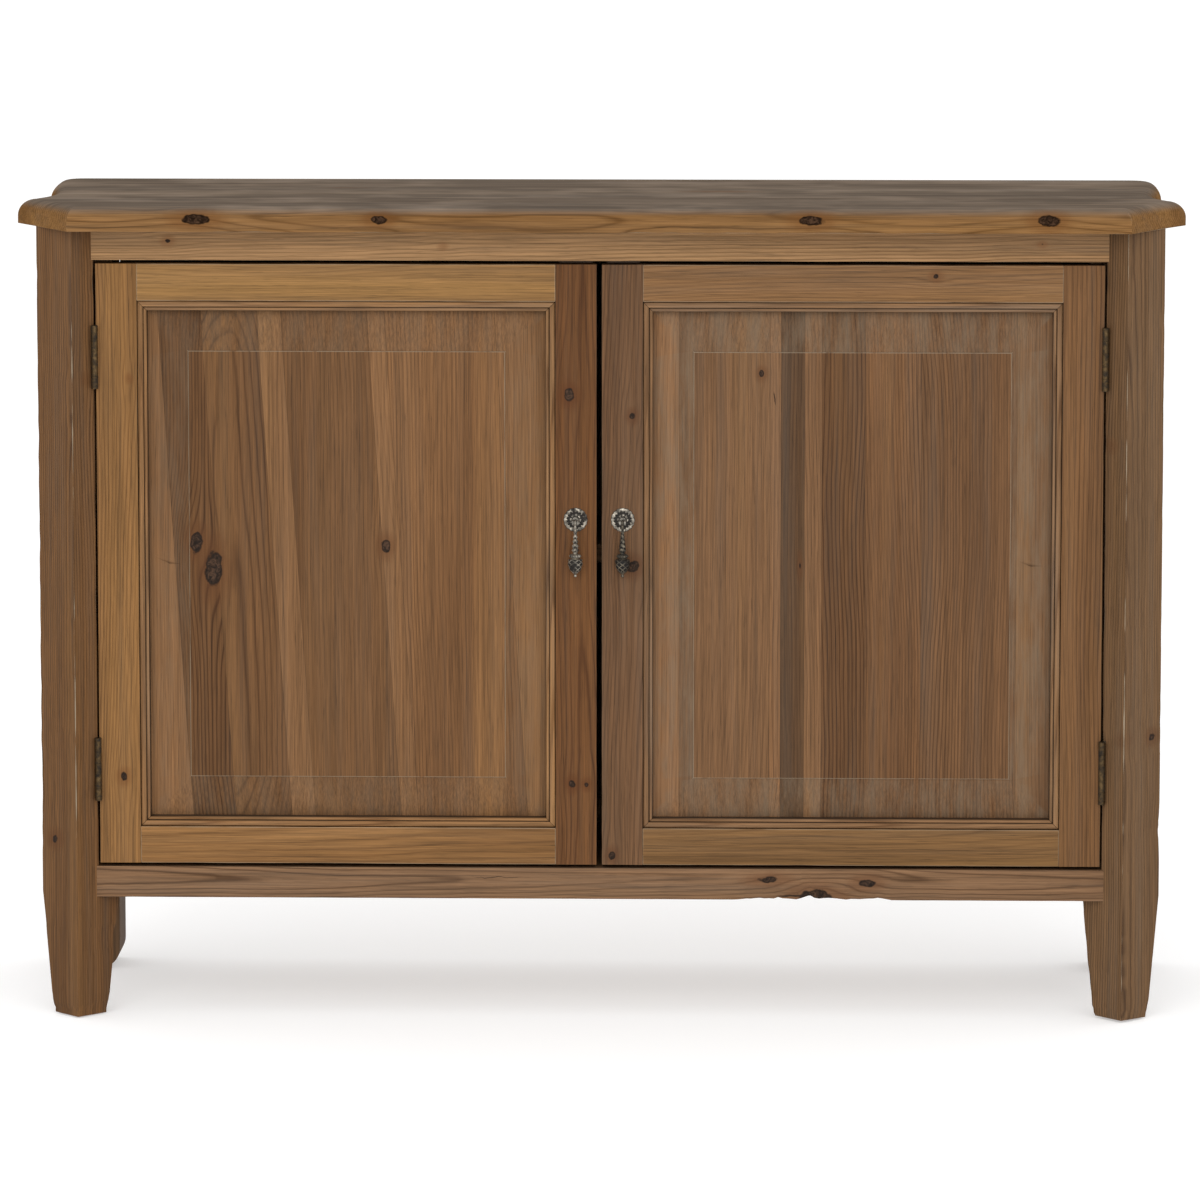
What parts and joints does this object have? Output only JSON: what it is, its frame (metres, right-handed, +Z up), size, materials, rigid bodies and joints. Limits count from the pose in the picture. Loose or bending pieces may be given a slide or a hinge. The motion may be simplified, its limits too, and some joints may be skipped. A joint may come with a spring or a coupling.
{
  "type": "sideboard cabinet",
  "caption": "Pine sideboard on tapered feet: shaped overhanging top, canted front posts, panelled inset doors on butt hinges, drop pulls, inner shelf.",
  "frame": {"origin": "on the floor under the middle of the top", "axes": "+Z up, -Y towards the front with the doors, +X to the right as seen from the front"},
  "size_m": [1.29, 0.4, 0.906],
  "materials": {
    "top_pine": "greyed, waxed",
    "frame_pine": "waxed",
    "door_pine": "waxed",
    "panel_pine": "waxed",
    "inner_pine": "plain, sawn and planed",
    "antique_brass": "dark, aged",
    "pewter": "antique silver, dark in the recesses",
    "steel": "zinc plated",
    "catch_plastic": "brown moulded"
  },
  "bodies": {
    "cabinet": {"back_board_screws": "steel", "back_boards": "inner_pine", "back_bottom_rail": "inner_pine", "back_floor_cleat": "inner_pine", "back_top_rail": "inner_pine", "case_screws": "steel", "floor_board": "inner_pine", "front_bottom_rail": "frame_pine", "front_floor_cleat": "inner_pine", "front_top_rail": "frame_pine", "hinge_pins": "antique_brass", "left_back_post": "frame_pine", "left_front_post": "frame_pine", "left_hinge_post_leaves": "antique_brass", "left_magnet_catch": "catch_plastic", "left_side_bottom_rail": "frame_pine", "left_side_panel": "frame_pine", "left_side_top_rail": "frame_pine", "post_leaf_screws": "steel", "right_back_post": "frame_pine", "right_front_post": "frame_pine", "right_hinge_post_leaves": "antique_brass", "right_magnet_catch": "catch_plastic", "right_side_bottom_rail": "frame_pine", "right_side_panel": "frame_pine", "right_side_top_rail": "frame_pine", "shelf": "inner_pine", "shelf_pegs": "inner_pine", "tabletop": "top_pine", "tabletop_screws": "steel"},
    "left_door": {"left_catch_strike": "steel", "left_door_bottom_rail": "door_pine", "left_door_hinge_stile": "door_pine", "left_door_leaf_screws": "steel", "left_door_meeting_stile": "door_pine", "left_door_moulding": "door_pine", "left_door_panel": "panel_pine", "left_door_top_rail": "door_pine", "left_hinge_door_leaves": "antique_brass", "left_pull_backplate": "pewter", "left_pull_nut": "pewter", "left_pull_pin": "pewter", "left_pull_stud": "pewter"},
    "right_door": {"right_catch_strike": "steel", "right_door_bottom_rail": "door_pine", "right_door_hinge_stile": "door_pine", "right_door_leaf_screws": "steel", "right_door_meeting_stile": "door_pine", "right_door_moulding": "door_pine", "right_door_panel": "panel_pine", "right_door_top_rail": "door_pine", "right_hinge_door_leaves": "antique_brass", "right_pull_backplate": "pewter", "right_pull_nut": "pewter", "right_pull_pin": "pewter", "right_pull_stud": "pewter"},
    "left_pull": {"left_pull_drop": "pewter"},
    "right_pull": {"right_pull_drop": "pewter"}
  },
  "joints": [
    {"name": "left_door_hinge", "type": "hinge", "parent": "cabinet", "child": "left_door", "pos_m": [-0.55475, -0.15875, 0.5], "axis": [0, 0, -1], "range_deg": [0, 120]},
    {"name": "right_door_hinge", "type": "hinge", "parent": "cabinet", "child": "right_door", "pos_m": [0.55475, -0.15875, 0.5], "axis": [0, 0, 1], "range_deg": [0, 120]},
    {"name": "left_pull_pivot", "type": "hinge", "parent": "left_door", "child": "left_pull", "pos_m": [-0.026, -0.1665, 0.556], "axis": [-1, 0, 0], "range_deg": [0, 100]},
    {"name": "right_pull_pivot", "type": "hinge", "parent": "right_door", "child": "right_pull", "pos_m": [0.026, -0.1665, 0.556], "axis": [-1, 0, 0], "range_deg": [0, 100]}
  ]
}
